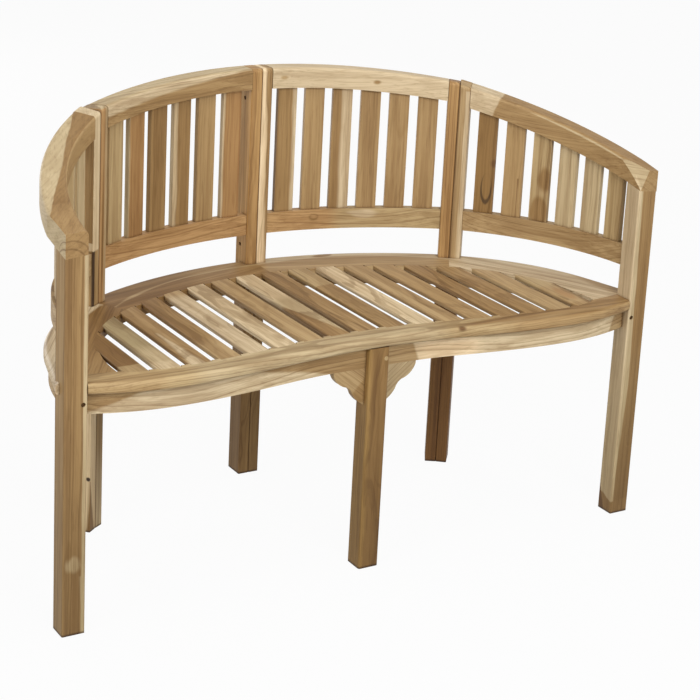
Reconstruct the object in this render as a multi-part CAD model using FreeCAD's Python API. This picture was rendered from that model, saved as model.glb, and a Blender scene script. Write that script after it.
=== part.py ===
"""Curved two-seat teak garden bench.

A kidney-shaped seat on six legs, with a bowed back and arms made of four framed panels.
Millimetres, +Z up, +X to the bench's right as seen from the front, front towards -Y.
The origin is on the floor, in the middle of the width and of the depth.
Sizes below are laid out with y = 0 on the front face of the two front corner legs.
"""
import FreeCAD, Part
import math
import os

V = FreeCAD.Vector
UP = V(0, 0, 1)
REACH = 3000.0

# Front corner legs
LEG_OUTER_X = 595.0
LEG_WIDTH = 40.6
LEG_DEPTH = 39.6
# Front centre leg
CENTRE_LEG_WIDTH = 40.6
CENTRE_LEG_DEPTH = 41.0
CENTRE_LEG_FRONT_Y = 4.6
CENTRE_LEG_EASE = 4.0
# Back posts: each is a pair of stiles side by side
STILE_WIDTH = 22.0
STILE_DEPTH = 46.0
POST_MIDDLE_Y = 474.0
POST_SIDE_ANGLE = 32.6
# Plan curves of the back
BACK_RADIUS = 706.0
END_RADIUS = 470.0
# Top rails
RAIL_HEIGHT = 40.0
RAIL_DEPTH = 45.0
ARCH_RADIUS = 2520.0
ARCH_CROWN_Z = 790.5
ARM_Z_AT_POST = 757.5
ARM_Z_AT_FRONT = 657.5
ARM_FACET_LENGTH = 78.0
ARM_FACET_TOP_WIDTH = 20.0
# Lower rails
LOWER_RAIL_Z = 501.0
LOWER_RAIL_HEIGHT = 40.0
LOWER_RAIL_DEPTH = 21.0
LOWER_RAIL_SETBACK = 4.0
# Back slats
BACK_SLAT_COUNT = 6
BACK_SLAT_WIDTH = 39.6
END_SLAT_WIDTH = 38.4
BACK_SLAT_THICKNESS = 10.0
BACK_SLAT_SETBACK = 9.5
TENON = 8.0
# Seat boards
SEAT_TOP_Z = 442.0
SEAT_BOARD_THICKNESS = 20.0
SEAT_CURVE_PAST_LEG = 1.2
SEAT_OVERHANG = 29.0
SEAT_END_OVERHANG = 26.5
SEAT_INSET = 64.0
SEAT_LIP_REACH = 7.0
SEAT_LIP_Y = 20.0
FRONT_BOARD_WIDTH = 48.0
FRONT_END_Y = -2.0
FRONT_NOSE = [(500.0, -19.0), (445.0, -29.0), (375.0, -32.0), (300.0, -27.5),
              (215.0, -17.0), (119.0, -4.0), (0.0, 4.0)]
SEAT_JOINT_Y = 31.0
# Seat slats
SEAT_SLAT_COUNT = 17
SEAT_SLAT_WIDTH = 41.6
SEAT_SLAT_MARGIN = 10.0
SEAT_SLAT_THICKNESS = 9.0
SEAT_SLAT_HOUSING = 5.0
# Aprons and brackets
APRON_HEIGHT = 39.0
APRON_THICKNESS = 20.0
FRONT_APRON_SETBACK = 19.0
FRONT_APRON_MIDDLE_SETBACK = 14.0
END_APRON_OFFSET = -2.0
BACK_APRON_OFFSET = 6.0
BRACKET_THICKNESS = 14.0
BRACKET_REACH = 65.0
BRACKET_DROP = 69.0
BRACKET_TOE = 5.0
BRACKET_STEP_REACH = 24.0
BRACKET_STEP_DROP = 47.0
# Stretcher under the middle of the seat
STRETCHER_WIDTH = 30.0
# Screws
SCREW_HEAD_RADIUS = 4.0
SCREW_SHANK_RADIUS = 2.0
SCREW_LENGTH = 34.0
SCREW_HEAD_HEIGHT = 3.0
SCREW_SINK = 3.0
LEG_SCREW_Z = 406.0
LEG_SCREW_INSET = 7.6
POST_SCREW_DEPTH = 28.0
POST_SCREW_LOW_Z = 477.0
POST_SCREW_HIGH_Z = 770.0
# Rounded edges
EASE = 2.5
RAIL_ROUND = 7.0
NOSE_ROUND_TOP = 8.0
NOSE_ROUND_BOTTOM = 5.0
SEAT_SLAT_ROUND = 3.0

LEG_INNER_X = LEG_OUTER_X - LEG_WIDTH
SEAT_UNDER_Z = SEAT_TOP_Z - SEAT_BOARD_THICKNESS
SEAT_SLAT_Z = SEAT_TOP_Z - SEAT_SLAT_THICKNESS
APRON_Z = SEAT_UNDER_Z - APRON_HEIGHT
LOWER_RAIL_TOP_Z = LOWER_RAIL_Z + LOWER_RAIL_HEIGHT
LOWER_RAIL_BACK = LOWER_RAIL_SETBACK + LOWER_RAIL_DEPTH
BACK_APRON_BACK = BACK_APRON_OFFSET + APRON_THICKNESS
BACK_CENTRE = V(0, POST_MIDDLE_Y - BACK_RADIUS, 0)
BACK_FACE_Y = POST_MIDDLE_Y + STILE_DEPTH
NOSE_FRONT_Y = min(y for x, y in FRONT_NOSE)
ORIGIN_Y = (BACK_FACE_Y + NOSE_FRONT_Y) / 2


def outward(angle):
    """Level direction at an angle in degrees, turning from +Y towards +X."""
    return V(math.sin(math.radians(angle)), math.cos(math.radians(angle)), 0)


def along(angle):
    """Level direction at a right angle to outward, on the side of a growing angle."""
    return V(math.cos(math.radians(angle)), -math.sin(math.radians(angle)), 0)


def on_circle(centre, radius, angle):
    return centre + outward(angle) * radius


def arc(centre, radius, start, end):
    middle = on_circle(centre, radius, (start + end) / 2)
    return Part.Arc(on_circle(centre, radius, start), middle, on_circle(centre, radius, end)).toShape()


def line(a, b):
    return Part.makeLine(a, b)


def prism(edges, z0, z1):
    """Upright solid between two heights on an outline given in order."""
    face = Part.Face(Part.Wire(edges))
    face.translate(V(0, 0, z0))
    return face.extrude(V(0, 0, z1 - z0))


def polygon(points, z0, z1):
    edges = [line(points[i - 1], points[i]) for i in range(len(points))]
    return prism(edges[1:] + edges[:1], z0, z1)


def band(centre, inner, outer, start, end, z0, z1):
    """Upright curved board between two radii and two angles."""
    edges = [
        arc(centre, inner, start, end),
        line(on_circle(centre, inner, end), on_circle(centre, outer, end)),
        arc(centre, outer, end, start),
        line(on_circle(centre, outer, start), on_circle(centre, inner, start)),
    ]
    return prism(edges, z0, z1)


def beyond(point, direction):
    """Everything on the far side of a plane through a point."""
    box = Part.makeBox(REACH, 2 * REACH, 2 * REACH, V(0, -REACH, -REACH))
    box.Placement = FreeCAD.Placement(point, FreeCAD.Rotation(V(1, 0, 0), direction))
    return box


def mirrored(shape):
    return shape.mirror(V(0, 0, 0), V(1, 0, 0))


def is_upright(edge):
    a = edge.valueAt(edge.FirstParameter)
    b = edge.valueAt(edge.LastParameter)
    return abs(a.x - b.x) < 0.01 and abs(a.y - b.y) < 0.01


def eased(shape, radius, test):
    """The shape with the edges that pass the test rounded."""
    return shape.makeFillet(radius, [edge for edge in shape.Edges if test(edge)])


# Where the curves meet


def post_side():
    """Front corner that the two stiles of the right-hand side post share."""
    return on_circle(BACK_CENTRE, BACK_RADIUS, POST_SIDE_ANGLE)


def end_centre():
    """Centre of the arc from the side post to the front leg's inner back corner."""
    a = post_side()
    b = V(LEG_INNER_X, LEG_DEPTH, 0)
    half = (b - a) * 0.5
    inward = V(half.y, -half.x, 0).normalize()
    return a + half + inward * math.sqrt(END_RADIUS ** 2 - half.Length ** 2)


def seat_end_radius():
    """Radius that carries the back's curve on, without a kink, to the front leg's inner face."""
    share = math.sin(math.radians(POST_SIDE_ANGLE))
    return (LEG_INNER_X + SEAT_CURVE_PAST_LEG - BACK_RADIUS * share) / (1 - share)


def angle_about(centre, point):
    return math.degrees(math.atan2(point.x - centre.x, point.y - centre.y))


END_CENTRE = end_centre()
END_ANGLE = angle_about(END_CENTRE, post_side())
SEAT_CURVE_END_RADIUS = seat_end_radius()
SEAT_END_CENTRE = BACK_CENTRE + outward(POST_SIDE_ANGLE) * (BACK_RADIUS - SEAT_CURVE_END_RADIUS)


def side_post_back():
    """Back corner that the two stiles of the side post share."""
    half = (END_ANGLE - POST_SIDE_ANGLE) / 2
    return post_side() + outward(POST_SIDE_ANGLE + half) * (STILE_DEPTH / math.cos(math.radians(half)))


def back_stile_face():
    """Side face that the back panel's rails meet, on the side post."""
    return post_side() - along(POST_SIDE_ANGLE) * STILE_WIDTH


def end_stile_face():
    """Side face that the end panel's rails meet, on the side post."""
    return post_side() + along(END_ANGLE) * STILE_WIDTH


def arch(lift):
    """Everything under the crowned line of the back's top rails, raised by lift."""
    radius = ARCH_RADIUS + lift
    return Part.makeCylinder(radius, REACH, V(0, -REACH / 2, ARCH_CROWN_Z - ARCH_RADIUS), V(0, 1, 0))


def above_arm(lift):
    """Everything over the sloping plane of the right arm's underside, raised by lift."""
    start = post_side() + V(0, 0, ARM_Z_AT_POST)
    finish = V(LEG_INNER_X, 0, ARM_Z_AT_FRONT)
    slope = finish - start
    level = V(-slope.y, slope.x, 0)
    normal = slope.cross(level).normalize()
    if normal.z < 0:
        normal = normal * -1
    return beyond(start + V(0, 0, lift), normal)


# Legs and posts


def screw(point, direction):
    """Countersunk screw whose head lies under the surface at a point and whose shank runs inward."""
    top = point + direction * SCREW_SINK
    head = Part.makeCone(SCREW_HEAD_RADIUS, SCREW_SHANK_RADIUS, SCREW_HEAD_HEIGHT, top, direction)
    shank = Part.makeCylinder(SCREW_SHANK_RADIUS, SCREW_LENGTH, top, direction)
    return head.fuse(shank).removeSplitter()


def screw_hole(point, direction):
    """Sunk hole that the screw fills, open to the surface."""
    mouth = Part.makeCylinder(SCREW_HEAD_RADIUS, SCREW_SINK, point, direction)
    return mouth.fuse(screw(point, direction)).removeSplitter()


def leg_screw_at():
    return V(LEG_INNER_X + LEG_SCREW_INSET, 0, LEG_SCREW_Z), V(0, 1, 0)


def post_screws_at():
    """Places and directions of the screws that join the two stiles of the middle post."""
    y = POST_MIDDLE_Y + POST_SCREW_DEPTH
    return [(V(-STILE_WIDTH, y, z), V(1, 0, 0)) for z in (POST_SCREW_LOW_Z, POST_SCREW_HIGH_Z)]


def front_leg():
    leg = Part.makeBox(LEG_WIDTH, LEG_DEPTH, REACH / 3, V(LEG_INNER_X, 0, 0))
    leg = leg.cut(above_arm(0))
    leg = eased(leg, EASE, is_upright)
    return leg.cut(screw_hole(*leg_screw_at()))


def centre_leg():
    corner = V(-CENTRE_LEG_WIDTH / 2, CENTRE_LEG_FRONT_Y, 0)
    leg = Part.makeBox(CENTRE_LEG_WIDTH, CENTRE_LEG_DEPTH, SEAT_UNDER_Z, corner)
    return eased(leg, CENTRE_LEG_EASE, is_upright)


def is_across_top(point, direction):
    """Test for the edge between a stile's top and its face through a point."""
    def test(edge):
        middle = edge.CenterOfMass
        on_face = abs((middle - point).dot(direction)) < 0.5
        return on_face and middle.z > LOWER_RAIL_TOP_Z and not is_upright(edge)
    return test


def rounded_stile(stile, point, direction):
    """Stile eased along its sides and rounded across its top, at the front and at the back."""
    halves = []
    for depth in (0, STILE_DEPTH):
        half = eased(stile, RAIL_ROUND, is_across_top(point + direction * depth, direction))
        halves.append(eased(half, EASE, is_upright))
    return halves[0].common(halves[1])


def middle_stile(x):
    """Stile of the middle post whose left-hand face stands at x."""
    stile = Part.makeBox(STILE_WIDTH, STILE_DEPTH, REACH / 3, V(x, POST_MIDDLE_Y, 0))
    stile = stile.common(arch(RAIL_HEIGHT))
    stile = rounded_stile(stile, V(0, POST_MIDDLE_Y, 0), V(0, 1, 0))
    for point, direction in post_screws_at():
        stile = stile.cut(screw_hole(point, direction))
    return stile


def side_stile_inner():
    """Stile of the side post that belongs to the back panel."""
    a = back_stile_face()
    b = a + outward(POST_SIDE_ANGLE) * STILE_DEPTH
    stile = polygon([a, post_side(), side_post_back(), b], 0, REACH / 3).common(arch(RAIL_HEIGHT))
    return rounded_stile(stile, a, outward(POST_SIDE_ANGLE))


def side_stile_outer():
    """Stile of the side post that belongs to the end panel."""
    a = end_stile_face()
    b = a + outward(END_ANGLE) * STILE_DEPTH
    stile = polygon([post_side(), a, b, side_post_back()], 0, REACH / 3).cut(above_arm(RAIL_HEIGHT))
    return rounded_stile(stile, a, outward(END_ANGLE))


# Panels of the back and arms


def back_band(inner, outer, z0, z1):
    """Curved board of the right back panel, cut square against its two stiles."""
    board = band(BACK_CENTRE, BACK_RADIUS + inner, BACK_RADIUS + outer, 0, POST_SIDE_ANGLE, z0, z1)
    board = board.cut(beyond(V(STILE_WIDTH, 0, 0), V(-1, 0, 0)))
    return board.cut(beyond(back_stile_face(), along(POST_SIDE_ANGLE)))


def end_band(inner, outer, z0, z1, front_y):
    """Curved board of the right end panel, from the side post to a line across the front."""
    board = band(END_CENTRE, END_RADIUS + inner, END_RADIUS + outer, END_ANGLE - 5, 100, z0, z1)
    board = board.cut(beyond(end_stile_face(), along(END_ANGLE) * -1))
    return board.cut(beyond(V(0, front_y, 0), V(0, -1, 0)))


def slat_angles(start, end, count, share):
    """Middle angles of evenly spaced slats that each take a share of angle."""
    gap = (end - start - count * share) / (count + 1)
    return [start + gap + share / 2 + i * (gap + share) for i in range(count)]


def upright_slat(centre, radius, angle, width):
    """Flat upright slat whose front face touches a circle at an angle."""
    face = on_circle(centre, radius, angle)
    side = along(angle) * (width / 2)
    depth = outward(angle) * BACK_SLAT_THICKNESS
    corners = [face - side, face + side, face + side + depth, face - side + depth]
    return polygon(corners, LOWER_RAIL_TOP_Z - TENON, REACH / 3)


def back_slats():
    radius = BACK_RADIUS + BACK_SLAT_SETBACK
    share = math.degrees(BACK_SLAT_WIDTH / radius)
    stile = math.degrees(STILE_WIDTH / BACK_RADIUS)
    angles = slat_angles(stile, POST_SIDE_ANGLE - stile, BACK_SLAT_COUNT, share)
    slats = [upright_slat(BACK_CENTRE, radius, a, BACK_SLAT_WIDTH) for a in angles]
    return [slat.common(arch(TENON)) for slat in slats]


def end_slats():
    radius = END_RADIUS + BACK_SLAT_SETBACK
    share = math.degrees(END_SLAT_WIDTH / radius)
    start = END_ANGLE + math.degrees(STILE_WIDTH / END_RADIUS)
    end = angle_about(END_CENTRE, V(LEG_INNER_X, LEG_DEPTH, 0))
    angles = slat_angles(start, end, BACK_SLAT_COUNT, share)
    slats = [upright_slat(END_CENTRE, radius, a, END_SLAT_WIDTH) for a in angles]
    return [slat.cut(above_arm(TENON)) for slat in slats]


def housed(board, slats):
    """The board or rail with a seat cut into it for each slat."""
    for slat in slats:
        board = board.cut(slat)
    return board


def is_long_above(height):
    """Test for the long edges of a rail's top face, above a height."""
    def test(edge):
        return edge.Length > RAIL_DEPTH * 2 and edge.CenterOfMass.z > height
    return test


def back_top_rail(slats):
    rail = back_band(0, RAIL_DEPTH, 0, REACH / 3)
    rail = rail.common(arch(RAIL_HEIGHT)).cut(arch(0))
    rail = eased(rail, RAIL_ROUND, is_long_above(ARCH_CROWN_Z + RAIL_HEIGHT / 4))
    return housed(rail, slats)


def arm_face_at(y):
    """Point at floor height under the right arm's inner face, at a depth y."""
    return V(END_CENTRE.x + math.sqrt(END_RADIUS ** 2 - (y - END_CENTRE.y) ** 2), y, 0)


def arm_facet():
    """Wedge that slopes off the inner top corner at the front of the right arm."""
    rise = (ARM_Z_AT_POST - ARM_Z_AT_FRONT) / post_side().y
    high = ARM_Z_AT_FRONT + RAIL_HEIGHT
    start = arm_face_at(ARM_FACET_LENGTH) + V(0, 0, high + rise * ARM_FACET_LENGTH)
    top = V(LEG_OUTER_X - ARM_FACET_TOP_WIDTH, 0, high)
    low = arm_face_at(0) + V(0, 0, ARM_Z_AT_FRONT)
    normal = (top - start).cross(low - start).normalize()
    if normal.x > 0:
        normal = normal * -1
    return beyond(low, normal).cut(beyond(start, V(0, 1, 0)))


def end_top_rail(slats):
    rail = end_band(0, RAIL_DEPTH, 0, REACH / 3, 0)
    rail = rail.cut(above_arm(RAIL_HEIGHT)).common(above_arm(0))
    rail = rail.cut(beyond(V(LEG_OUTER_X, 0, 0), V(1, 0, 0)))
    rail = eased(rail, RAIL_ROUND, is_long_above((ARM_Z_AT_POST + ARM_Z_AT_FRONT + RAIL_HEIGHT) / 2))
    return housed(rail, slats)


# Seat


def front_points(shift):
    """Points of the front curve from right to left, moved back by shift."""
    half = [V(x, y + shift, 0) for x, y in FRONT_NOSE]
    return half + [V(-p.x, p.y, 0) for p in reversed(half[:-1])]


def smooth(points):
    curve = Part.BSplineCurve()
    curve.interpolate(points)
    return curve.toShape()


def nose_curve():
    ends = [V(LEG_INNER_X, FRONT_END_Y, 0), V(-LEG_INNER_X, FRONT_END_Y, 0)]
    return smooth(ends[:1] + front_points(0) + ends[1:])


def seat_corner(radius):
    """Inner corner where the front board meets the right end board."""
    across = math.sqrt(radius ** 2 - (SEAT_JOINT_Y - SEAT_END_CENTRE.y) ** 2)
    return V(SEAT_END_CENTRE.x + across, SEAT_JOINT_Y, 0)


def inner_front_curve(radius, shift):
    corner = seat_corner(radius)
    points = front_points(shift)[1:-1]
    return smooth([corner] + points + [V(-corner.x, corner.y, 0)])


def seat_inner_radius(base):
    return base - SEAT_INSET


def nosed(board, is_outer):
    """Seat board with its outer edge rounded above and below; is_outer tells a point of that edge."""
    def at(height):
        def test(edge):
            ends = [edge.valueAt(edge.FirstParameter), edge.valueAt(edge.LastParameter)]
            long = edge.Length > FRONT_BOARD_WIDTH
            return long and all(abs(p.z - height) < 0.01 and is_outer(p) for p in ends)
        return test
    board = eased(board, NOSE_ROUND_TOP, at(SEAT_TOP_Z))
    return eased(board, NOSE_ROUND_BOTTOM, at(SEAT_UNDER_Z))


def front_board():
    radius = seat_inner_radius(SEAT_CURVE_END_RADIUS)
    corner = seat_corner(radius)
    left = V(-corner.x, corner.y, 0)
    end = V(LEG_INNER_X, LEG_DEPTH, 0)
    tip = V(LEG_INNER_X, FRONT_END_Y, 0)
    edges = [
        nose_curve(),
        line(V(-tip.x, tip.y, 0), V(-end.x, end.y, 0)),
        line(V(-end.x, end.y, 0), left),
        inner_front_curve(radius, FRONT_BOARD_WIDTH),
        line(corner, end),
        line(end, tip),
    ]
    board = prism(Part.__sortEdges__(edges), SEAT_UNDER_Z, SEAT_TOP_Z)
    return nosed(board, lambda p: p.y < FRONT_END_Y + 0.01)


def lip_tangent(radius):
    """Angle at which the outer edge leaves its arc to run straight to the lip by the front leg."""
    lip = V(LEG_OUTER_X + SEAT_LIP_REACH, SEAT_LIP_Y, 0) - SEAT_END_CENTRE
    return math.degrees(math.atan2(lip.x, lip.y)) - math.degrees(math.acos(radius / lip.Length))


def end_board():
    outer = SEAT_CURVE_END_RADIUS + SEAT_END_OVERHANG
    inner = seat_inner_radius(SEAT_CURVE_END_RADIUS)
    leave = lip_tangent(outer)
    corner = seat_corner(inner)
    finish = angle_about(SEAT_END_CENTRE, corner)
    lip = V(LEG_OUTER_X + SEAT_LIP_REACH, SEAT_LIP_Y, 0)
    leg = [V(LEG_INNER_X, SEAT_LIP_Y, 0), V(LEG_INNER_X, LEG_DEPTH, 0)]
    path = [on_circle(SEAT_END_CENTRE, outer, leave), lip] + leg + [corner]
    edges = [line(path[i], path[i + 1]) for i in range(len(path) - 1)]
    edges.append(arc(SEAT_END_CENTRE, inner, finish, POST_SIDE_ANGLE))
    edges.append(line(on_circle(SEAT_END_CENTRE, inner, POST_SIDE_ANGLE),
                      on_circle(SEAT_END_CENTRE, outer, POST_SIDE_ANGLE)))
    edges.append(arc(SEAT_END_CENTRE, outer, POST_SIDE_ANGLE, leave))
    board = prism(Part.__sortEdges__(edges), SEAT_UNDER_Z, SEAT_TOP_Z)
    board = nosed(board, lambda p: p.distanceToPoint(SEAT_END_CENTRE + UP * p.z) > outer - 0.01)
    return board.cut(Part.makeBox(LEG_WIDTH, LEG_DEPTH, REACH / 3, V(LEG_INNER_X, 0, 0)))


def back_board():
    inner = seat_inner_radius(BACK_RADIUS)
    outer = BACK_RADIUS + SEAT_OVERHANG
    board = band(BACK_CENTRE, inner, outer, 0, POST_SIDE_ANGLE, SEAT_UNDER_Z, SEAT_TOP_Z)
    return nosed(board, lambda p: p.distanceToPoint(BACK_CENTRE + UP * p.z) > outer - 0.01)


def seat_well():
    """Space that the seat slats fill, reaching into their housings all round."""
    back = seat_inner_radius(BACK_RADIUS) + SEAT_SLAT_HOUSING
    end = seat_inner_radius(SEAT_CURVE_END_RADIUS) + SEAT_SLAT_HOUSING
    corner = seat_corner(end)
    finish = angle_about(SEAT_END_CENTRE, corner)
    edges = [
        arc(BACK_CENTRE, back, -POST_SIDE_ANGLE, POST_SIDE_ANGLE),
        arc(SEAT_END_CENTRE, end, POST_SIDE_ANGLE, finish),
        inner_front_curve(end, FRONT_BOARD_WIDTH - SEAT_SLAT_HOUSING),
        arc(V(-SEAT_END_CENTRE.x, SEAT_END_CENTRE.y, 0), end, -finish, -POST_SIDE_ANGLE),
    ]
    return prism(Part.__sortEdges__(edges), SEAT_SLAT_Z, SEAT_TOP_Z)


def seat_slats():
    """Even slats whose outermost edges stop a margin short of the ends of the opening."""
    well = seat_well()
    reach = SEAT_END_CENTRE.x + seat_inner_radius(SEAT_CURVE_END_RADIUS) - SEAT_SLAT_MARGIN
    pitch = (2 * reach - SEAT_SLAT_WIDTH) / (SEAT_SLAT_COUNT - 1)
    slats = []
    for i in range(SEAT_SLAT_COUNT):
        corner = V(i * pitch - reach, -REACH / 2, SEAT_SLAT_Z)
        slats.append(Part.makeBox(SEAT_SLAT_WIDTH, REACH, SEAT_SLAT_THICKNESS, corner).common(well))
    return slats


def is_long_side(edge):
    a = edge.valueAt(edge.FirstParameter)
    b = edge.valueAt(edge.LastParameter)
    return abs(a.x - b.x) < 0.01 and abs(a.y - b.y) > SEAT_SLAT_WIDTH


# Under the seat


def apron_front_curve():
    """Front face of the front apron, set back from the seat's edge and a little less at the middle."""
    tip = V(LEG_INNER_X, FRONT_END_Y + FRONT_APRON_SETBACK, 0)
    points = front_points(FRONT_APRON_SETBACK)
    points[len(FRONT_NOSE) - 1] = apron_middle()
    return smooth([tip] + points + [V(-tip.x, tip.y, 0)])


def apron_middle():
    return V(0, FRONT_NOSE[-1][1] + FRONT_APRON_MIDDLE_SETBACK, 0)


def front_apron():
    """Right half of the front apron, from the centre leg to the corner leg."""
    front = apron_front_curve()
    back = front.copy()
    back.translate(V(0, APRON_THICKNESS, 0))
    ends = [line(front.Vertexes[i].Point, back.Vertexes[i].Point) for i in (0, 1)]
    apron = prism(Part.__sortEdges__([front, back] + ends), APRON_Z, SEAT_UNDER_Z)
    return apron.cut(beyond(V(CENTRE_LEG_WIDTH / 2, 0, 0), V(-1, 0, 0)))


def end_apron():
    inner = SEAT_CURVE_END_RADIUS + END_APRON_OFFSET
    outer = inner + APRON_THICKNESS
    apron = band(SEAT_END_CENTRE, inner, outer, POST_SIDE_ANGLE - 5, 100, APRON_Z, SEAT_UNDER_Z)
    apron = apron.cut(beyond(end_stile_face(), along(END_ANGLE) * -1))
    return apron.cut(beyond(V(0, LEG_DEPTH, 0), V(0, -1, 0)))


def bracket():
    """Shaped bracket on the right of the centre leg, under the front apron."""
    def at(reach, drop):
        return V(CENTRE_LEG_WIDTH / 2 + reach, apron_middle().y, APRON_Z - drop)

    tip = at(BRACKET_REACH, 0)
    toe = at(BRACKET_REACH, BRACKET_TOE)
    hollow = at((BRACKET_REACH + BRACKET_STEP_REACH) * 0.42, BRACKET_STEP_DROP * 0.66)
    step = at(BRACKET_STEP_REACH, BRACKET_STEP_DROP)
    foot = at(0, BRACKET_DROP)
    belly = at(BRACKET_REACH * 0.87, BRACKET_STEP_DROP * 0.42)
    dip = at(BRACKET_STEP_REACH * 1.2, BRACKET_STEP_DROP * 0.8)
    bulge = at(BRACKET_STEP_REACH * 0.6, (BRACKET_STEP_DROP + BRACKET_DROP) * 0.51)
    edges = [
        line(at(0, 0), tip),
        line(tip, toe),
        Part.Arc(toe, belly, hollow).toShape(),
        Part.Arc(hollow, dip, step).toShape(),
        Part.Arc(step, bulge, foot).toShape(),
        line(foot, at(0, 0)),
    ]
    return Part.Face(Part.Wire(edges)).extrude(V(0, BRACKET_THICKNESS, 0))


def centre_stretcher():
    """Rail under the middle of the seat, notched at both ends to carry the slats between the boards."""
    start = CENTRE_LEG_FRONT_Y + CENTRE_LEG_DEPTH
    low = Part.makeBox(STRETCHER_WIDTH, POST_MIDDLE_Y - start, APRON_HEIGHT,
                       V(-STRETCHER_WIDTH / 2, start, APRON_Z))
    front = FRONT_NOSE[-1][1] + FRONT_BOARD_WIDTH + 1
    back = BACK_CENTRE.y + seat_inner_radius(BACK_RADIUS) - 1
    high = Part.makeBox(STRETCHER_WIDTH, back - front, SEAT_SLAT_Z - SEAT_UNDER_Z,
                        V(-STRETCHER_WIDTH / 2, front, SEAT_UNDER_Z))
    return low.fuse(high).removeSplitter()


def save(node, shape):
    shape = shape.copy()
    shape.translate(V(0, -ORIGIN_Y, 0))
    shape.exportStep("parts/" + node + ".step")


def save_pair(node, shape):
    """Exports a right-hand piece and its mirror image."""
    save(node + "_right", shape)
    save(node + "_left", mirrored(shape))


def build():
    os.makedirs("parts", exist_ok=True)
    save_pair("front_leg", front_leg())
    save("front_leg_centre", centre_leg())
    save("post_middle_stile_right", middle_stile(0))
    save("post_middle_stile_left", middle_stile(-STILE_WIDTH))
    save_pair("post_side_stile_inner", side_stile_inner())
    save_pair("post_side_stile_outer", side_stile_outer())

    slats = back_slats()
    save_pair("back_slats", Part.makeCompound(slats))
    save_pair("back_top_rail", back_top_rail(slats))
    rail = back_band(LOWER_RAIL_SETBACK, LOWER_RAIL_BACK, LOWER_RAIL_Z, LOWER_RAIL_TOP_Z)
    save_pair("back_lower_rail", housed(rail, slats))

    slats = end_slats()
    save_pair("arm_slats", Part.makeCompound(slats))
    arm = end_top_rail(slats)
    save("arm_rail_left", mirrored(arm))
    save("arm_rail_right", arm.cut(arm_facet()))
    rail = end_band(LOWER_RAIL_SETBACK, LOWER_RAIL_BACK, LOWER_RAIL_Z, LOWER_RAIL_TOP_Z, LEG_DEPTH)
    save_pair("arm_lower_rail", housed(rail, slats))

    slats = seat_slats()
    for i, slat in enumerate(slats):
        save("seat_slat_%02d" % (i + 1), eased(slat, SEAT_SLAT_ROUND, is_long_side))
    save("seat_board_front", housed(front_board(), slats))
    posts = [side_stile_inner(), side_stile_outer(), middle_stile(0)]
    for name, board in (("seat_board_end", end_board()), ("seat_board_back", back_board())):
        for post in posts:
            board = board.cut(post)
        save_pair(name, housed(board, slats))

    save_pair("apron_front", front_apron())
    save_pair("apron_end", end_apron())
    save_pair("apron_back", back_band(BACK_APRON_OFFSET, BACK_APRON_BACK, APRON_Z, SEAT_UNDER_Z))
    save_pair("apron_bracket", bracket())
    save("centre_stretcher", centre_stretcher())
    point, direction = leg_screw_at()
    leg_screw = screw(point, direction)
    screws = [leg_screw, mirrored(leg_screw)] + [screw(p, d) for p, d in post_screws_at()]
    save("screws", Part.makeCompound(screws))


build()
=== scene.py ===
"""Looks of the curved teak bench: procedural wood on each piece, camera, lights and floor."""
import math
import bpy
from mathutils import Matrix, Vector


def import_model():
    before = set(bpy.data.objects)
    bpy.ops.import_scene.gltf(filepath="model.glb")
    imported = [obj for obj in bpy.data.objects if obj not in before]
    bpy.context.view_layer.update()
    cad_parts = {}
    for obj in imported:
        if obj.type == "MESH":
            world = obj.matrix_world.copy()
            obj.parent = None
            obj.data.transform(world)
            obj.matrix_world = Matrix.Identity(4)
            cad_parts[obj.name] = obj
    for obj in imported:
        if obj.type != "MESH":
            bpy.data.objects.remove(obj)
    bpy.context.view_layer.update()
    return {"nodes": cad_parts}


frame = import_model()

X, Y, Z = (1, 0, 0), (0, 1, 0), (0, 0, 1)

# Tones of the wood, as the eye sees them under plain light, 0 to 255
MILK = (232, 206, 168)
CREAM = (213, 191, 155)
PALE = (202, 180, 146)
LIGHT = (188, 166, 129)
SAND = (180, 154, 112)
TAN = (174, 145, 103)
OLIVE = (166, 146, 108)
HONEY = (184, 145, 98)
GOLD = (204, 160, 98)
AMBER = (175, 137, 88)
ORANGE = (164, 125, 80)
MID = (165, 134, 91)
OCHRE = (160, 126, 74)
BROWN = (152, 120, 77)
DARK = (136, 103, 60)
CHESTNUT = (130, 91, 47)
UMBER = (112, 80, 46)
BLACK = (62, 44, 28)

# How much of a tone is left, in linear light, in a pale streak, a dark one, a ring line, a pore, the painted
# shade in a corner, the painted shade towards the foot of a leg and the painted shadow along its rim
STREAK_PALE = (1.06, 1.09, 1.10, 1)
STREAK_DEEP = (0.66, 0.59, 0.50, 1)
LINE = (0.50, 0.42, 0.32, 1)
PORE = (0.60, 0.53, 0.44, 1)
CORNER_SHADE = (0.34, 0.26, 0.18, 1)
FOOT_SHADE = (0.70, 0.67, 0.60, 1)
RIM_SHADOW = (0.25, 0.20, 0.14, 1)
PLAIN = (1, 1, 1, 1)

# Values of a noise, a corner or a height where a mark starts and where it is full, and how much of it shows
RING_EDGE = (0.53, 0.62)
HAIR_EDGE, HAIR_SHARE = (0.52, 0.64), 0.6
STREAK_EDGE = (0.42, 0.60)
CLOUD_EDGE, CLOUD_SHARE = (0.45, 0.65), 0.22
PORE_EDGE, PORE_SHARE = (0.54, 0.66), 0.38
CORNER_SHADE_EDGE, CORNER_SHADE_SHARE = (0.15, 0.75), 0.95
FOOT_SHADE_EDGE = (0.46, 0.08)
RIM_SHADOW_EDGE, RIM_SHADOW_SHARE = (0.006, 0.001), 0.8

# How far the rings wander, slowly and quickly, in metres; spacing of the hair lines as a share of the rings'
SWAY, RIPPLE = 0.035, 0.006
HAIR_SPACING = 0.35
# Places along the grain that keep two pieces, or two slats of a panel, from showing the same wood
SEED_APART, SEED_START, SLAT_APART = 5.3, 20, 3.7

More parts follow.
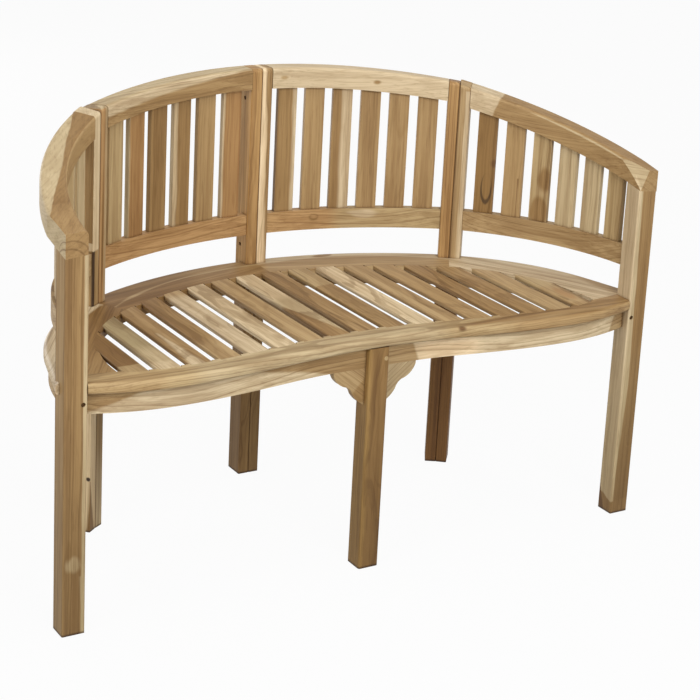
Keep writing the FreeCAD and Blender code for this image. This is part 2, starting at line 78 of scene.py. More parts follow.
# Roughness of the wood; height of its bumps in metres, and shares of it for pores and rings
ROUGH_LEAST, ROUGH_SPREAD = 0.48, 0.22
BUMP_HEIGHT, PORE_DEPTH, RING_DEPTH = 0.0006, 0.6, 0.35
# How far from a joint the painted shade reaches, in metres
CORNER_SHADE_REACH = 0.008

# Depth in metres inside the slat that is meant, and depth per unit of cosine on a face
SLAT_DEPTH = 0.05
FACING_DEPTH = 0.2


def linear(colour):
    """Scene colour from an sRGB one written 0 to 255."""
    out = []
    for v in colour:
        v = v / 255
        out.append(v / 12.92 if v <= 0.04045 else ((v + 0.055) / 1.055) ** 2.4)
    return (*out, 1.0)


class Graph:
    """Short calls for building the nodes of a material or of the world."""

    def __init__(self, owner):
        owner.use_nodes = True
        self.owner = owner
        self.tree = owner.node_tree
        self.tree.nodes.clear()

    def node(self, kind, **props):
        made = self.tree.nodes.new(kind)
        for key, value in props.items():
            setattr(made, key, value)
        return made

    def plug(self, socket, value):
        if isinstance(value, bpy.types.NodeSocket):
            self.tree.links.new(value, socket)
        elif value is not None:
            socket.default_value = value

    def math(self, operation, a, b=None):
        made = self.node("ShaderNodeMath", operation=operation)
        for socket, value in zip(made.inputs, (a, b)):
            self.plug(socket, value)
        return made.outputs[0]

    def add(self, a, b):
        return self.math("ADD", a, b)

    def less(self, a, b):
        """a minus b."""
        return self.math("SUBTRACT", a, b)

    def mul(self, a, b):
        return self.math("MULTIPLY", a, b)

    def length(self, *parts):
        """Length of the vector with these parts."""
        total = None
        for part in parts:
            square = self.math("POWER", part, 2.0)
            total = square if total is None else self.add(total, square)
        return self.math("SQRT", total)

    def dot(self, vector, direction):
        made = self.node("ShaderNodeVectorMath", operation="DOT_PRODUCT")
        self.plug(made.inputs[0], vector)
        made.inputs[1].default_value = direction
        return made.outputs["Value"]

    def split(self, vector):
        made = self.node("ShaderNodeSeparateXYZ")
        self.plug(made.inputs[0], vector)
        return made.outputs

    def combine(self, x, y, z):
        made = self.node("ShaderNodeCombineXYZ")
        for socket, value in zip(made.inputs, (x, y, z)):
            self.plug(socket, value)
        return made.outputs[0]

    def noise(self, where, detail, rough=0.55, dimensions="3D"):
        """Noise over a place, or along one value where dimensions is 1D."""
        made = self.node("ShaderNodeTexNoise", noise_dimensions=dimensions)
        self.plug(made.inputs["W" if dimensions == "1D" else "Vector"], where)
        made.inputs["Scale"].default_value = 1.0
        made.inputs["Detail"].default_value = detail
        made.inputs["Roughness"].default_value = rough
        return made.outputs["Fac"]

    def mix(self, factor, a, b, blend="MIX"):
        made = self.node("ShaderNodeMix", data_type="RGBA", blend_type=blend)
        self.plug(made.inputs["Factor"], factor)
        self.plug(made.inputs["A"], a)
        self.plug(made.inputs["B"], b)
        return made.outputs["Result"]

    def times(self, colour, factor, tint):
        """The colour, multiplied by the tint as far as the factor says."""
        return self.mix(factor, colour, tint, blend="MULTIPLY")

    def step(self, value, low, high):
        """Smooth step from 0 at low to 1 at high."""
        made = self.node("ShaderNodeMapRange", interpolation_type="SMOOTHSTEP")
        self.plug(made.inputs["Value"], value)
        made.inputs["From Min"].default_value = low
        made.inputs["From Max"].default_value = high
        return made.outputs["Result"]

    def output(self, shader, kind="ShaderNodeOutputMaterial"):
        self.plug(self.node(kind).inputs[0], shader.outputs[0])
        return self.owner


# Places for a patch of another tone, in metres in the bench's frame


def beyond(point, normal):
    """The side of a plane that the normal points to."""
    return ("plane", point, Vector(normal).normalized())


def before(point, normal):
    """The side of a plane that the normal points away from."""
    return beyond(point, -Vector(normal))


def over(axis, value):
    """Where the place along an axis is over the value."""
    return beyond(Vector(axis) * value, axis)


def under(axis, value):
    """Where the place along an axis is under the value."""
    return before(Vector(axis) * value, axis)


def blob(point, *size):
    """Inside an ellipsoid with these half sizes."""
    return ("blob", point, size, 1)


def around(point, *size):
    """Outside an ellipsoid with these half sizes."""
    return ("blob", point, size, -1)


def outside_arc(centre, radius):
    """Further than the radius from an upright axis through the centre."""
    return ("arc", centre, radius, 1)


def inside_arc(centre, radius):
    """Nearer than the radius to that axis."""
    return ("arc", centre, radius, -1)


def facing(direction, least=0.7):
    """The faces that look in a direction; least is the cosine at the border."""
    return ("facing", direction, least)


def slat(index):
    """One slat of a panel, counted from the post."""
    return ("slat", index)


def patch(tone, *places, soft=0.003, wobble=0.008, strength=1.0):
    """A tone where all the places meet; soft is half the border's width, wobble how far it wanders."""
    return dict(tone=tone, places=places, soft=soft, wobble=wobble, strength=strength)


def painted_joint_shade(point, inwards):
    """Painted shade line along a joint, from the point to the side that inwards points to."""
    return patch(UMBER, beyond(point, inwards), soft=0.0006, wobble=0.0, strength=0.6)


def depth_in(g, where, place, xyz, index):
    """How deep a spot lies inside a place, in metres, and under 0 outside it."""
    kind = where[0]
    if kind == "plane":
        return g.less(g.dot(place, where[2]), Vector(where[1]).dot(where[2]))
    if kind == "facing":
        turned = g.dot(g.node("ShaderNodeNewGeometry").outputs["Normal"], where[1])
        return g.mul(g.less(turned, where[2]), FACING_DEPTH)
    if kind == "slat":
        apart = g.math("ABSOLUTE", g.less(index, where[1]))
        return g.less(SLAT_DEPTH, g.mul(apart, 2 * SLAT_DEPTH))
    if kind == "arc":
        reach = g.length(*(g.less(xyz[k], where[1][k]) for k in range(2)))
        return g.mul(g.less(reach, where[2]), where[3])
    reach = g.length(*(g.math("DIVIDE", g.less(xyz[k], where[1][k]), where[2][k]) for k in range(3)))
    return g.mul(g.less(1.0, reach), min(where[2]) * where[3])


def patch_mask(g, look, place, xyz, index, waver):
    """Strength of a patch over the piece, with a border that wanders along the grain."""
    depth = None
    for where in look["places"]:
        part = depth_in(g, where, place, xyz, index)
        depth = part if depth is None else g.math("MINIMUM", depth, part)
    depth = g.add(depth, g.mul(waver, look["wobble"]))
    return g.mul(g.step(depth, -look["soft"], look["soft"]), look["strength"])


def slat_place(g, xyz, panel):
    """Number of the slat, then the place along, across and through it."""
    dx = g.less(xyz[0], panel["centre"][0])
    dy = g.less(xyz[1], panel["centre"][1])
    angle = g.mul(g.math("ARCTAN2", dx, dy), panel["side"] * 180 / math.pi)
    turn = g.math("DIVIDE", g.less(angle, panel["first"]), panel["pitch"])
    index = g.math("FLOOR", turn)
    across = g.mul(g.math("FRACT", turn), math.radians(panel["pitch"]) * panel["radius"])
    return index, g.add(xyz[2], g.mul(index, SLAT_APART)), across, g.length(dx, dy)


def slat_tone(g, index, tones):
    """The tone of each slat by its number."""
    ramp = g.node("ShaderNodeValToRGB")
    ramp.color_ramp.interpolation = "CONSTANT"
    steps = ramp.color_ramp.elements
    while len(steps) < len(tones):
        steps.new(0.5)
    for i, tone in enumerate(tones):
        steps[i].position = i / len(tones)
        steps[i].color = linear(tone)
    g.plug(ramp.inputs[0], g.math("DIVIDE", g.add(index, 0.5), len(tones)))
    return ramp.outputs[0]


def wood(name, tone, grain=X, up=Z, pith=(0.03, 0.06), spacing=0.0045, lines=0.42, streaks=0.6, patches=(),
         seed=0, panel=None):
    """Wood whose grain, streaks and growth rings run right through the piece.

    grain and up give the directions along and across the board; pith is where the heart of the tree
    lies across it; spacing is that of the rings; lines and streaks say how strongly these show; patches
    are places of another tone; seed picks the stretch of wood; panel gives the layout and tones of
    upright slats.
    """
    g = Graph(bpy.data.materials.new(name))
    place = g.node("ShaderNodeTexCoord").outputs["Object"]
    xyz = g.split(place)
    index = None
    if panel:
        index, l, w, d = slat_place(g, xyz, panel)
        body = slat_tone(g, index, panel["tones"])
    else:
        along = Vector(grain).normalized()
        across = (Vector(up) - along * along.dot(Vector(up))).normalized()
        l, w, d = (g.dot(place, axis) for axis in (along, across, along.cross(across)))
        body = linear(tone)
    l = g.add(l, seed * SEED_APART + SEED_START)

    def stretched(along, across, detail, rough=0.6):
        sides = (g.mul(v, across) for v in (w, d))
        return g.noise(g.combine(g.mul(l, along), *sides), detail, rough)

    def lines_at(gap, detail, rough, edge):
        """Lines round the heart, about a gap apart."""
        return g.step(g.noise(g.math("DIVIDE", heart, gap), detail, rough, "1D"), *edge)

    slow = stretched(along=2.4, across=9.0, detail=2.0, rough=0.55)
    waver = g.less(stretched(along=9.0, across=30.0, detail=2.0), 0.5)
    broad = stretched(along=2.0, across=62.0, detail=4.0)
    cloud = stretched(along=7.0, across=24.0, detail=3.0)
    fine = stretched(along=15.0, across=300.0, detail=2.0)
    sway = g.add(g.mul(g.less(slow, 0.5), SWAY), g.mul(waver, RIPPLE))
    heart = g.length(g.less(g.add(w, sway), pith[0]), g.less(d, pith[1]))
    rings = lines_at(spacing, 2.5, 0.6, RING_EDGE)
    hair = lines_at(spacing * HAIR_SPACING, 1.0, 0.5, HAIR_EDGE)

    for look in patches:
        body = g.mix(patch_mask(g, look, place, xyz, index, waver), body, linear(look["tone"]))
    streak = g.step(broad, *STREAK_EDGE)
    body = g.times(body, 1.0, g.mix(g.mul(streak, streaks), STREAK_PALE, STREAK_DEEP))
    body = g.times(body, g.mul(g.step(cloud, *CLOUD_EDGE), CLOUD_SHARE), STREAK_DEEP)
    body = g.times(body, g.mul(rings, lines), LINE)
    body = g.times(body, g.mul(hair, lines * HAIR_SHARE), LINE)
    body = g.times(body, g.mul(g.step(fine, *PORE_EDGE), PORE_SHARE), PORE)
    # Painted shade in the corners and joints
    body = paint_corner_shade(g, body)
    # Painted shade, darker towards the floor on every piece, where less light reaches
    body = g.times(body, g.step(xyz[2], *FOOT_SHADE_EDGE), FOOT_SHADE)
    # Painted shadow along the bottom few millimetres, where the feet meet the floor
    body = g.times(body, g.mul(g.step(xyz[2], *RIM_SHADOW_EDGE), RIM_SHADOW_SHARE), RIM_SHADOW)

    shader = g.node("ShaderNodeBsdfPrincipled")
    g.plug(shader.inputs["Base Color"], body)
    g.plug(shader.inputs["Roughness"], g.add(g.mul(broad, ROUGH_SPREAD), ROUGH_LEAST))
    shader.inputs["Specular IOR Level"].default_value = 0.30
    bump = g.node("ShaderNodeBump")
    bump.inputs["Strength"].default_value = 0.4
    bump.inputs["Distance"].default_value = BUMP_HEIGHT
    height = g.less(g.mul(fine, -PORE_DEPTH), g.mul(rings, RING_DEPTH))
    g.plug(bump.inputs["Height"], height)
    g.plug(shader.inputs["Normal"], bump.outputs[0])
    return g.output(shader)


def paint_corner_shade(g, body):
    """Painted shade in the joints, where pieces meet, darker where a spot is more closed in."""
    near = g.node("ShaderNodeAmbientOcclusion", samples=6)
    near.inputs["Distance"].default_value = CORNER_SHADE_REACH
    closed = g.less(1.0, near.outputs["AO"])
    return g.times(body, g.mul(g.step(closed, *CORNER_SHADE_EDGE), CORNER_SHADE_SHARE), CORNER_SHADE)


def dress(node, material):
    """Give a CAD piece its material."""
    mesh = frame["nodes"][node].data
    mesh.materials.clear()
    mesh.materials.append(material)


def chord(start, end, side):
    """Direction along a bowed board between two angles from the back's middle, in degrees.

    side is -1 on the left and 1 on the right.
    """
    middle = math.radians((start + end) / 2)
    return (math.cos(middle), -math.sin(middle) * side, 0)


# Grain of the posts and legs, and of the bowed pieces
UPRIGHT = dict(grain=Z, up=Y)
BACK_LEFT, BACK_RIGHT = chord(0, 32, -1), chord(0, 32, 1)
END_LEFT, END_RIGHT = chord(40, 78, -1), chord(40, 78, 1)
ARM_LEFT, ARM_RIGHT = chord(44, 80, -1), chord(44, 80, 1)

SEAT_PITCH = 0.0576

# Seat slats, from the left: tone, and patches of other tones
seat = [
    (DARK, (patch(SAND, under(Y, -0.195)),)),
    (OLIVE, (patch(LIGHT, under(Y, -0.13), soft=0.03), patch(CREAM, under(Y, -0.20), soft=0.01))),
    (MID, (patch(PALE, beyond((-0.352, -0.075, 0), (0.996, -0.087, 0)),
                 before((-0.352, -0.075, 0), (1, 0.09, 0)), under(Y, -0.07)),)),
    (BROWN, (patch(TAN, under(Y, -0.14), soft=0.03),)),
    (PALE, (patch(TAN, over(Y, 0.10), soft=0.02),)),
    (CREAM, ()),
    (TAN, ()),
    (LIGHT, (patch(CREAM, over(Y, 0.02), soft=0.02),
             patch(BROWN, before((-0.078, -0.022, 0), (0.97, 0.24, 0)), under(Y, -0.02)))),
    (MID, (patch(DARK, over(X, -0.018), under(X, -0.008), over(Y, -0.15), strength=0.35),)),
    (SAND, (patch(BROWN, before((0.048, 0.059, 0), (-0.11, 0.99, 0)), strength=0.8),)),
    (CREAM, ()),
    (TAN, ()),
    (MID, ()),
    (BROWN, ()),
    (BROWN, (patch(MID, over(Y, 0), soft=0.02),)),
    (TAN, ()),
    (TAN, (patch(MID, under(Y, -0.21)), patch(SAND, over(Y, -0.11), soft=0.01),
           patch(ORANGE, blob((0.462, -0.16, 0.442), 0.012, 0.035, 0.01), strength=0.8))),
]
for i, (tone, patches) in enumerate(seat):
    name = "seat_slat_%02d" % (i + 1)
    x = (i - len(seat) // 2) * SEAT_PITCH
    # Heart and grain swing from slat to slat, so that no two look alike
    pith = (0.05 + 0.02 * math.sin(i * 2.3), x + 0.05 * math.cos(i * 1.7))
    grain = (0.02 * math.sin(i * 3.1), 1, 0)
    dress(name, wood(name, tone, grain=grain, seed=i + 1, pith=pith, patches=patches))

# All other pieces but the upright slats and the screws; a later patch lies over an earlier one
# The joint lines on the post stiles below are painted shade
pieces = {
    "seat_board_front": dict(tone=SAND, seed=21, pith=(0.50, 0.23), patches=(
        patch(MID, under(Z, 0.438), under(X, -0.44), soft=0.03),
        patch(LIGHT, over(X, -0.37), under(X, 0.13), soft=0.03),
        patch(MID, over(X, 0.26), soft=0.05),
        patch(BROWN, over(X, 0.38), facing(Z), soft=0.03),
        patch(BROWN, blob((0.31, -0.243, 0.442), 0.15, 0.013, 0.02)),
        patch(UMBER, blob((0.165, -0.250, 0.440), 0.008, 0.008, 0.004), soft=0.002),
    )),
    "seat_board_back_left": dict(tone=DARK, grain=BACK_LEFT, seed=22, patches=(
        patch(BROWN, over(X, -0.16), soft=0.04),
        patch(SAND, outside_arc((-0.018, -0.285), 0.505), inside_arc((-0.018, -0.285), 0.510),
              strength=0.9),
    )),
    "seat_board_back_right": dict(tone=TAN, grain=BACK_RIGHT, seed=23, patches=(
        patch(PALE, outside_arc((0.068, -0.241), 0.4645)),
        patch(BROWN, blob((0.150, 0.228, 0.44), 0.022, 0.008, 0.03), soft=0.002),
    )),
    "seat_board_end_left": dict(tone=DARK, grain=END_LEFT, seed=24, patches=(
        patch(BROWN, under(Y, -0.13), soft=0.05),
        patch(PALE, outside_arc((-0.0871, -0.2487), 0.46)),
    )),
    "seat_board_end_right": dict(tone=PALE, grain=END_RIGHT, seed=25, patches=(
        patch(TAN, over(X, 0.55), soft=0.01),
        patch(BROWN, outside_arc((-0.203, -0.489), 0.8175), inside_arc((-0.203, -0.489), 0.8205),
              strength=0.7, wobble=0.004),
    )),
    "back_top_rail_left": dict(tone=MID, grain=BACK_LEFT, seed=31, patches=(
        # Paler top and rounded upper edge: partly pale sapwood, partly painted light from above
        patch(PALE, beyond((-0.128, 0, 0.816), (-0.147, 0, 1)), soft=0.003),
        patch(LIGHT, facing(Z)),
    )),
    "back_top_rail_right": dict(tone=PALE, grain=BACK_RIGHT, seed=32, lines=0.2, streaks=0.3, patches=(
        patch(TAN, blob((0.046, 0.228, 0.811), 0.006, 0.03, 0.003), soft=0.002),
        patch(BROWN, blob((0.233, 0.190, 0.798), 0.007, 0.03, 0.004), soft=0.002),
    )),
    "arm_rail_left": dict(tone=MID, grain=ARM_LEFT, seed=33, lines=0.2, streaks=0.3, patches=(
        patch(DARK, facing(Z), strength=0.85),
        patch(BROWN, under(Y, -0.15), soft=0.004),
        patch(LIGHT, beyond((-0.5165, -0.0325, 0), (-0.88, 0.47, 0)), soft=0.0015, wobble=0.012),
        patch(LIGHT, facing((-1, 0, 0)), under(Y, -0.16), soft=0.01),
        patch(UMBER, blob((-0.585, -0.244, 0.650), 0.036, 0.03, 0.034),
              around((-0.585, -0.244, 0.650), 0.033, 0.03, 0.031), soft=0.0008, wobble=0.002, strength=0.6),
        patch(UMBER, blob((-0.588, -0.244, 0.645), 0.030, 0.03, 0.026),
              around((-0.588, -0.244, 0.645), 0.027, 0.03, 0.023), soft=0.0008, wobble=0.002, strength=0.6),
        patch(BLACK, blob((-0.449, 0.070, 0.735), 0.004, 0.02, 0.005), soft=0.001, wobble=0),
    )),
    "arm_rail_right": dict(tone=MID, grain=ARM_RIGHT, seed=34, lines=0.3, streaks=0.4, patches=(
        patch(BROWN, facing(Z, 0.75), soft=0.01),
        patch(PALE, before((0.446, 0.074, 0.767), (0.68, -0.62, -0.39)), soft=0.002),
        patch(LIGHT, facing((-0.84, -0.385, 0.385), 0.975), soft=0.0015, wobble=0),
        patch(CREAM, facing((-0.84, -0.385, 0.385), 0.94), under(X, 0.5585), under(Y, -0.225), soft=0.0015,
              wobble=0),
    )),
    "back_lower_rail_left": dict(tone=HONEY, grain=BACK_LEFT, seed=35),
    "back_lower_rail_right": dict(tone=SAND, grain=BACK_RIGHT, seed=36, patches=(
        patch(HONEY, under(X, 0.165), soft=0.02, strength=0.9),
        patch(PALE, blob((0.222, 0.200, 0.530), 0.024, 0.03, 0.008)),
        patch(PALE, blob((0.202, 0.204, 0.533), 0.014, 0.03, 0.004)),
        patch(DARK, blob((0.122, 0.223, 0.526), 0.010, 0.03, 0.007),
              around((0.122, 0.223, 0.527), 0.006, 0.03, 0.003)),
    )),
    "arm_lower_rail_left": dict(tone=TAN, grain=ARM_LEFT, seed=37),
    "arm_lower_rail_right": dict(tone=TAN, grain=ARM_RIGHT, seed=38),
    "apron_front_left": dict(tone=CREAM, seed=41, patches=(
        patch(PALE, under(X, -0.31), soft=0.05, strength=0.8),
        patch(MID, beyond((-0.505, 0, 0.401), (-0.32, 0, 0.95))),
        patch(MID, beyond((-0.150, 0, 0.396), (0.20, 0, 0.98))),
        # Painted shadow under the front board's overhang, along the apron's top edge
        patch(UMBER, over(Z, 0.4165), under(X, -0.24), soft=0.0012, wobble=0, strength=0.8),
    )),
    "apron_front_right": dict(tone=CREAM, seed=42, patches=(
        patch(MILK, over(X, 0.09), under(X, 0.21), soft=0.02),
        patch(TAN, before((0.090, 0, 0.385), (1, 0, 0.4))),
        patch(TAN, beyond((0.512, 0, 0.385), (1, 0, -0.5))),
        # Painted shadow under the front board's overhang, along the apron's top edge
        patch(UMBER, over(Z, 0.4165), over(X, 0.16), soft=0.0012, wobble=0, strength=0.7),
    )),
    "apron_end_left": dict(tone=TAN, grain=ARM_LEFT, seed=43),
    "apron_end_right": dict(tone=TAN, grain=ARM_RIGHT, seed=44),
    "apron_back_left": dict(tone=BROWN, grain=BACK_LEFT, seed=45),
    "apron_back_right": dict(tone=BROWN, grain=BACK_RIGHT, seed=46),
    "apron_bracket_left": dict(tone=TAN, grain=(1, 0, -0.8), seed=47, patches=(
        patch(BROWN, beyond((-0.045, 0, 0.34), (0.7, 0, -0.7)), strength=0.9),
        patch(SAND, under(Z, 0.320)),
    )),
    "apron_bracket_right": dict(tone=LIGHT, grain=(1, 0, 0.8), seed=48),
    "centre_stretcher": dict(tone=BROWN, grain=Y, seed=49),
    "front_leg_left": dict(tone=BROWN, seed=51, **UPRIGHT, patches=(
        patch(MID, under(X, -0.5935), soft=0.001, wobble=0.0),
        patch(LIGHT, over(X, -0.562), soft=0.0015, wobble=0.004),
        patch(UMBER, over(X, -0.5905), under(X, -0.5875), strength=0.5, wobble=0.006),
        patch(LIGHT, blob((-0.576, -0.244, 0.127), 0.013, 0.03, 0.016), soft=0.004, wobble=0.02,
              strength=0.8),
        patch(DARK, blob((-0.584, -0.244, 0.155), 0.006, 0.03, 0.022), soft=0.002, wobble=0.01,
              strength=0.6),
        patch(LIGHT, beyond((-0.566, 0, 0.10), (1, 0, 0.09)), under(Z, 0.105), soft=0.002, strength=0.7),
    )),
    "front_leg_right": dict(tone=BROWN, seed=52, lines=0.25, streaks=0.4, **UPRIGHT, patches=(
        # Painted shade: darker towards the foot, where less light reaches
        patch(DARK, under(Z, 0.45), soft=0.18, wobble=0, strength=0.9),
        patch(LIGHT, before((0.567, 0, 0.44), (1, 0, 0.02)), before((0.5685, 0, 0.235), (1, 0, -0.059)),
              soft=0.0015, wobble=0.004),
        patch(PALE, under(X, 0.5548), soft=0.0003, wobble=0),
        # Painted shade on the pale left face towards the foot
        patch(SAND, under(X, 0.5548), under(Z, 0.30), soft=0.10, wobble=0, strength=0.5),
        # Cream strip along the front arris: partly pale sapwood, partly a painted highlight
        patch(CREAM, under(X, 0.559), under(Y, -0.2425), soft=0.002, wobble=0.003, strength=0.7),
        patch(BROWN, before((0.554, -0.224, 0.032), (0, -0.25, 1)), soft=0.002, wobble=0.02),
        patch(UMBER, before((0.554, -0.212, 0.030), (0, -3, 1)), under(Z, 0.055), under(X, 0.5548),
              soft=0.001),
    )),
    "front_leg_centre": dict(tone=DARK, seed=53, **UPRIGHT, patches=(
        patch(OCHRE, under(X, -0.014), strength=0.8),
        patch(SAND, blob((0.014, -0.239, 0.401), 0.004, 0.01, 0.004), soft=0.001, wobble=0),
    )),
    "post_middle_stile_left": dict(tone=AMBER, seed=54, **UPRIGHT, patches=(
        # Lighter, warmer left face: partly its own tone, partly painted light where the lamps reach it
        # little
        patch(GOLD, facing((-1, 0, 0)), over(Z, 0.44), soft=0.01),
        # Painted shade of the seat on the stile below it
        patch(BROWN, under(Z, 0.42), strength=0.8),
        painted_joint_shade((-0.001, 0, 0), X),
    )),
    "post_middle_stile_right": dict(tone=MILK, seed=55, **UPRIGHT, patches=(
        patch(MID, beyond((0.0125, 0, 0.70), (1, 0, 0.02))),
        # Painted shade of the seat on the stile below it
        patch(BROWN, under(Z, 0.42)),
        painted_joint_shade((0.001, 0, 0), (-1, 0, 0)),
    )),
    "post_side_stile_inner_left": dict(tone=HONEY, seed=56, **UPRIGHT, patches=(
        patch(LIGHT, over(X, -0.3685), soft=0.001, wobble=0.003, strength=0.8),
        patch(LIGHT, facing(Z)),
        patch(DARK, blob((-0.372, 0.127, 0.57), 0.0024, 0.02, 0.12), soft=0.001, wobble=0.003,
              strength=0.8),
        patch(TAN, under(Z, 0.42)),
        # Painted light near the floor, below the seat's shade
        patch(PALE, under(Z, 0.14), soft=0.05),
        painted_joint_shade((-0.379, 0, 0), (-1, 0, 0)),
    )),
    "post_side_stile_inner_right": dict(tone=AMBER, seed=57, **UPRIGHT, patches=(
        # Painted shade of the seat on the stile below it
        patch(CHESTNUT, under(Z, 0.42)),
        painted_joint_shade((0.379, 0, 0), X),
    )),
    "post_side_stile_outer_left": dict(tone=CREAM, seed=58, lines=0.25, streaks=0.3, **UPRIGHT, patches=(
        patch(BROWN, under(X, -0.3985), over(Z, 0.56), soft=0.001, wobble=0),
        patch(PALE, facing(Z)),
        # Painted shadow in the gap behind the front leg, darkest at the stile's left edge
        patch(MID, before((-0.3830, 0, 0.54), (1, 0, 0.06)), over(Z, 0.44), under(Z, 0.545), soft=0.002),
        patch(BLACK, over(X, -0.3995), under(X, -0.3930), over(Z, 0.44), under(Z, 0.545), soft=0.0015,
              wobble=0.002),
        painted_joint_shade((-0.383, 0, 0), X),
        # Painted light: the stile below the seat made paler where the front leg keeps the lamp off it
        patch(MILK, under(Z, 0.42)),
        patch(DARK, beyond((-0.397, 0, 0.10), (1, 0, -0.05)), before((-0.397, 0, 0.10), (1, 0, 0.12)),
              under(Z, 0.10)),
        patch(BLACK, blob((-0.400, 0.108, 0.106), 0.003, 0.02, 0.004), soft=0.001, wobble=0),
    )),
    "post_side_stile_outer_right": dict(tone=TAN, seed=59, **UPRIGHT, patches=(
        painted_joint_shade((0.383, 0, 0), (-1, 0, 0)),
        patch(PALE, over(X, 0.391), over(Z, 0.43), under(Z, 0.785), soft=0.0015, wobble=0.004),
        # Painted shade of the seat on the stile below it
        patch(CHESTNUT, under(Z, 0.42)),
    )),
}
for name, look in pieces.items():
    dress(name, wood(name, **look))

# Upright slats: tones from the post outwards, and patches of other tones. The slats stand on arcs round
# these centres; first is the angle in degrees where the first slat's share of the arc starts, and pitch
# the angle to the next one's.
BACK_CENTRE = (0.0, -0.476)
ARM_CENTRE = (0.0871, -0.2487)
panels = {
    "back_slats_left": dict(side=-1, tones=(ORANGE, MID, BROWN, BROWN, ORANGE, SAND), patches=(
        patch(PALE, slat(0), under(X, -0.076)),
        patch(CREAM, slat(2), under(X, -0.184)),
        patch(LIGHT, slat(4), under(X, -0.299)),
    )),
    "back_slats_right": dict(side=1, tones=(BROWN, MID, BROWN, MID, MID, MID), patches=(
        patch(PALE, slat(0), over(X, 0.072)),
        patch(PALE, slat(2), over(X, 0.172), soft=0.004),
        patch(BROWN, slat(4), blob((0.287, 0.180, 0.735), 0.012, 0.03, 0.05),
              around((0.287, 0.180, 0.745), 0.0085, 0.03, 0.05), strength=0.8),
    )),
    "arm_slats_left": dict(side=-1, tones=(LIGHT, SAND, LIGHT, TAN, SAND, TAN), patches=()),
    "arm_slats_right": dict(side=1, tones=(DARK, MID, SAND, LIGHT, LIGHT, SAND), patches=(
        patch(BLACK, slat(0), blob((0.434, 0.082, 0.590), 0.008, 0.03, 0.030),
              around((0.434, 0.082, 0.598), 0.0065, 0.03, 0.030), soft=0.0008, wobble=0.003, strength=0.8),
        patch(UMBER, blob((0.444, 0.073, 0.644), 0.006, 0.01, 0.008)),
        patch(UMBER, slat(1), over(X, 0.474), under(X, 0.4755), under(Z, 0.62), soft=0.0008, wobble=0.004,
              strength=0.8),
        patch(BROWN, blob((0.506, -0.016, 0.626), 0.009, 0.02, 0.022)),
        patch(BROWN, blob((0.501, -0.007, 0.560), 0.014, 0.02, 0.03)),
    )),
}
for name, look in panels.items():
    if name.startswith("back"):
        layout = dict(centre=BACK_CENTRE, radius=0.7155, first=2.4, pitch=4.64)
    else:
        centre = (ARM_CENTRE[0] * look["side"], ARM_CENTRE[1])
        layout = dict(centre=centre, radius=0.4795, first=41.2, pitch=6.9)
    layout.update(side=look["side"], tones=look["tones"])
    heart = (0.02, layout["radius"] + 0.05)
    dress(name, wood(name, MID, panel=layout, pith=heart, seed=60, patches=look["patches"]))


def screw_metal():
    """Dull metal, nearly black in its hole."""
    g = Graph(bpy.data.materials.new("screw_metal"))
    speck = g.noise(g.node("ShaderNodeTexCoord").outputs["Object"], detail=2.0)
    shader = g.node("ShaderNodeBsdfPrincipled")
    g.plug(shader.inputs["Base Color"], g.mix(speck, linear(BLACK), linear(UMBER)))
    shader.inputs["Metallic"].default_value = 0.8
    g.plug(shader.inputs["Roughness"], g.add(g.mul(speck, 0.2), 0.4))
    return g.output(shader)


dress("screws", screw_metal())

# Floor, light and camera

FLOOR_SIZE, FLOOR_DROP = 30.0, 0.0005
FLOOR_WHITE = 0.95
FLOOR_GREY = (0.55, 0.55, 0.55, 1)
WORLD_STRENGTH = 0.48
# Place, target, size in metres and power in watts
LAMPS = {
    "key": ((-0.3, -3.1, 2.2), (0, 0, 0.5), 1.6, 70),
    "fill": ((-3.2, -1.4, 1.9), (0, 0, 0.5), 1.6, 40),
    "overhead": ((0.3, -0.6, 3.4), (0, 0, 0.5), 2.0, 25),
    "back": ((-0.6, 5.0, 0.9), (0, 0, 0.5), 1.4, 75),
}
# The camera that the photo was taken with, as solved from the bench's edges: place in metres, angles in
# radians, lens in millimetres on a 36 mm sensor, shift as a share of the picture's width
CAMERA_PLACE = (-1.6783, -2.8589, 1.5292)
YAW, PITCH, ROLL = 0.563, 0.265, 0.055
LENS, SHIFT_X, SHIFT_Y = 96.28, -0.0377, -0.2094


def link(name, data):
    """A new object in the scene."""
    made = bpy.data.objects.new(name, data)
    bpy.context.scene.collection.objects.link(made)
    return made


def seen_plainly(g):
    """1 where the eye, a reflection or a view through glass meets the surface."""
    rays = g.node("ShaderNodeLightPath")
    seen = g.math("MAXIMUM", rays.outputs["Is Camera Ray"], rays.outputs["Is Glossy Ray"])
    return g.math("MAXIMUM", seen, rays.outputs["Is Transmission Ray"])


def blended(g, factor, first, second):
    """The first shader at factor 0 and the second at 1."""
    blend = g.node("ShaderNodeMixShader")
    for socket, value in zip(blend.inputs, (factor, first.outputs[0], second.outputs[0])):
        g.plug(socket, value)
    return blend


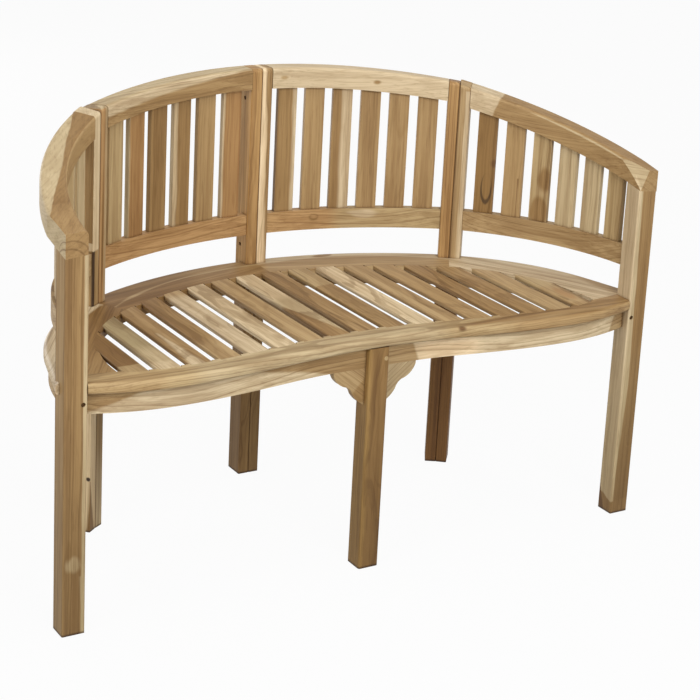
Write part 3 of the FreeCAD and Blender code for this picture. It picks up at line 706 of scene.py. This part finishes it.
def pale_floor():
    """Nearly white to the eye, with a share of a plain grey that takes the bench's shadow."""
    g = Graph(bpy.data.materials.new("floor"))
    grey = g.node("ShaderNodeBsdfDiffuse")
    grey.inputs["Color"].default_value = FLOOR_GREY
    glow = g.node("ShaderNodeEmission")
    glow.inputs["Color"].default_value = PLAIN
    return g.output(blended(g, g.mul(seen_plainly(g), FLOOR_WHITE), grey, glow))


def studio_world():
    """Soft light from all round, with a white background behind the object."""
    g = Graph(bpy.data.worlds.new("studio"))
    soft = g.node("ShaderNodeBackground")
    soft.inputs["Color"].default_value = PLAIN
    soft.inputs["Strength"].default_value = WORLD_STRENGTH
    white = g.node("ShaderNodeBackground")
    white.inputs["Color"].default_value = PLAIN
    return g.output(blended(g, seen_plainly(g), soft, white), "ShaderNodeOutputWorld")


half = FLOOR_SIZE / 2
corners = [(-half, -half, 0), (half, -half, 0), (half, half, 0), (-half, half, 0)]
mesh = bpy.data.meshes.new("floor")
mesh.from_pydata(corners, [], [(0, 1, 2, 3)])
mesh.materials.append(pale_floor())
floor = link("floor", mesh)
floor.location = (0, 0, -FLOOR_DROP)

bpy.context.scene.world = studio_world()
for name, (place, target, size, power) in LAMPS.items():
    data = bpy.data.lights.new(name, "AREA")
    data.energy = power
    data.size = size
    lamp = link(name, data)
    lamp.location = place
    lamp.rotation_euler = (Vector(target) - Vector(place)).to_track_quat("-Z", "Y").to_euler()

ahead = Vector((math.sin(YAW) * math.cos(PITCH), math.cos(YAW) * math.cos(PITCH), -math.sin(PITCH)))
level = Vector((math.cos(YAW), -math.sin(YAW), 0))
above = level.cross(ahead)
right = level * math.cos(ROLL) + above * math.sin(ROLL)
top = above * math.cos(ROLL) - level * math.sin(ROLL)
data = bpy.data.cameras.new("camera")
data.lens = LENS
data.sensor_width = 36.0
data.shift_x = SHIFT_X
data.shift_y = SHIFT_Y
camera = link("camera", data)
camera.matrix_world = Matrix.Translation(CAMERA_PLACE) @ Matrix((right, top, -ahead)).transposed().to_4x4()
bpy.context.scene.camera = camera
bpy.context.scene.view_settings.view_transform = "Standard"
